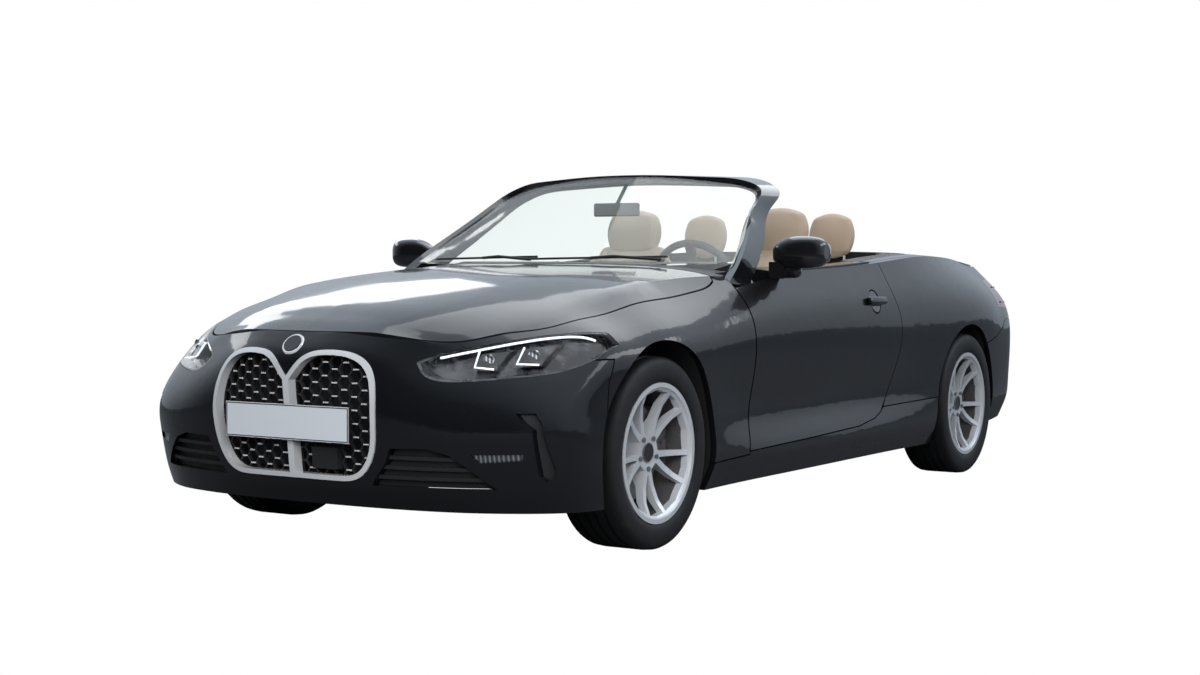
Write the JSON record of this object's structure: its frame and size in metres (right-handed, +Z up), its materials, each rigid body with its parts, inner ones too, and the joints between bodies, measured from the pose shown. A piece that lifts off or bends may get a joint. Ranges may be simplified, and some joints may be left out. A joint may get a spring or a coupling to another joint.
{
  "type": "convertible car",
  "caption": "Two-door convertible car with its roof stowed: open cabin, steered and rolling wheels, opening doors, bonnet and lids.",
  "frame": {"origin": "on the ground under the middle of the car's box", "axes": "front faces -Y, the car's left side +X, +Z up"},
  "size_m": [2.08, 4.7713, 1.355],
  "materials": {
    "paint": "gloss",
    "tyre": "matte",
    "alloy": "satin",
    "iron": "matte",
    "steel": "matte",
    "bright": "gloss",
    "dark_plastic": "matte",
    "leather": "matte",
    "glass": "gloss",
    "lamp": "gloss",
    "red_lamp": "gloss",
    "cloth": "matte",
    "plate": "satin",
    "gloss_black": "gloss"
  },
  "bodies": {
    "body": {"boot_tub": "steel", "centre_console": "dark_plastic", "cowl": "dark_plastic", "dashboard": "dark_plastic", "engine_block": "iron", "exhaust": "bright", "front_bumper": "paint", "front_plate": "plate", "front_seat_left": "leather", "front_seat_right": "leather", "front_subframe": "steel", "front_wings": "paint", "grille_mesh": "dark_plastic", "grille_surround": "bright", "headlamps": "lamp", "intake_slats": "dark_plastic", "rear_axle": "steel", "rear_bumper": "paint", "rear_cover": "cloth", "rear_quarters": "paint", "rear_seats": "leather", "side_sills": "paint", "tail_lamps": "red_lamp", "underbody": "steel", "wheel_liners": "dark_plastic", "windscreen": "glass", "windscreen_frame": "paint"},
    "knuckle_left": {"knuckle_left": "iron"},
    "knuckle_right": {"knuckle_right": "iron"},
    "wheel_front_left": {"tyre_front_left": "tyre", "rim_front_left": "alloy"},
    "wheel_front_right": {"tyre_front_right": "tyre", "rim_front_right": "alloy"},
    "wheel_rear_left": {"tyre_rear_left": "tyre", "rim_rear_left": "alloy"},
    "wheel_rear_right": {"tyre_rear_right": "tyre", "rim_rear_right": "alloy"},
    "steering": {"steering_wheel": "dark_plastic"},
    "door_left": {"door_left": "paint", "mirror_left": "gloss_black"},
    "door_right": {"door_right": "paint", "mirror_right": "gloss_black"},
    "bonnet": {"bonnet": "paint"},
    "boot_lid": {"boot_lid": "paint"},
    "stow_lid": {"stow_lid": "paint"}
  },
  "joints": [
    {"name": "steer_left", "type": "hinge", "parent": "body", "child": "knuckle_left", "pos_m": [0.7355, -1.509, 0.33], "axis": [0, 0, 1], "range_deg": [-35, 35]},
    {"name": "steer_right", "type": "hinge", "parent": "body", "child": "knuckle_right", "pos_m": [-0.7355, -1.509, 0.33], "axis": [0, 0, 1], "range_deg": [-35, 35]},
    {"name": "spin_front_left", "type": "hinge", "parent": "knuckle_left", "child": "wheel_front_left", "pos_m": [0.7875, -1.509, 0.33], "axis": [1, 0, 0], "continuous": true},
    {"name": "spin_front_right", "type": "hinge", "parent": "knuckle_right", "child": "wheel_front_right", "pos_m": [-0.7875, -1.509, 0.33], "axis": [1, 0, 0], "continuous": true},
    {"name": "spin_rear_left", "type": "hinge", "parent": "body", "child": "wheel_rear_left", "pos_m": [0.8055, 1.342, 0.33], "axis": [1, 0, 0], "continuous": true},
    {"name": "spin_rear_right", "type": "hinge", "parent": "body", "child": "wheel_rear_right", "pos_m": [-0.8055, 1.342, 0.33], "axis": [1, 0, 0], "continuous": true},
    {"name": "steering_turn", "type": "hinge", "parent": "body", "child": "steering", "pos_m": [0.3704, -0.3059, 0.893], "axis": [0, 0.9063, 0.4226], "range_deg": [-525, 525]},
    {"name": "door_left_hinge", "type": "hinge", "parent": "body", "child": "door_left", "pos_m": [0.8871, -0.7649, 0.6], "axis": [0, 0, -1], "range_deg": [0, 65]},
    {"name": "door_right_hinge", "type": "hinge", "parent": "body", "child": "door_right", "pos_m": [-0.8871, -0.7649, 0.6], "axis": [0, 0, 1], "range_deg": [0, 65]},
    {"name": "bonnet_hinge", "type": "hinge", "parent": "body", "child": "bonnet", "pos_m": [0, -1.089, 0.945], "axis": [-1, 0, 0], "range_deg": [0, 50]},
    {"name": "boot_hinge", "type": "hinge", "parent": "body", "child": "boot_lid", "pos_m": [0, 1.751, 1], "axis": [1, 0, 0], "range_deg": [0, 70]},
    {"name": "stow_hinge", "type": "hinge", "parent": "body", "child": "stow_lid", "pos_m": [0, 1.491, 1.02], "axis": [-1, 0, 0], "range_deg": [0, 55]}
  ],
  "couplings": [
    {"joint": "steer_right", "follows": "steer_left", "ratio": 1},
    {"joint": "steering_turn", "follows": "steer_left", "ratio": 15}
  ]
}
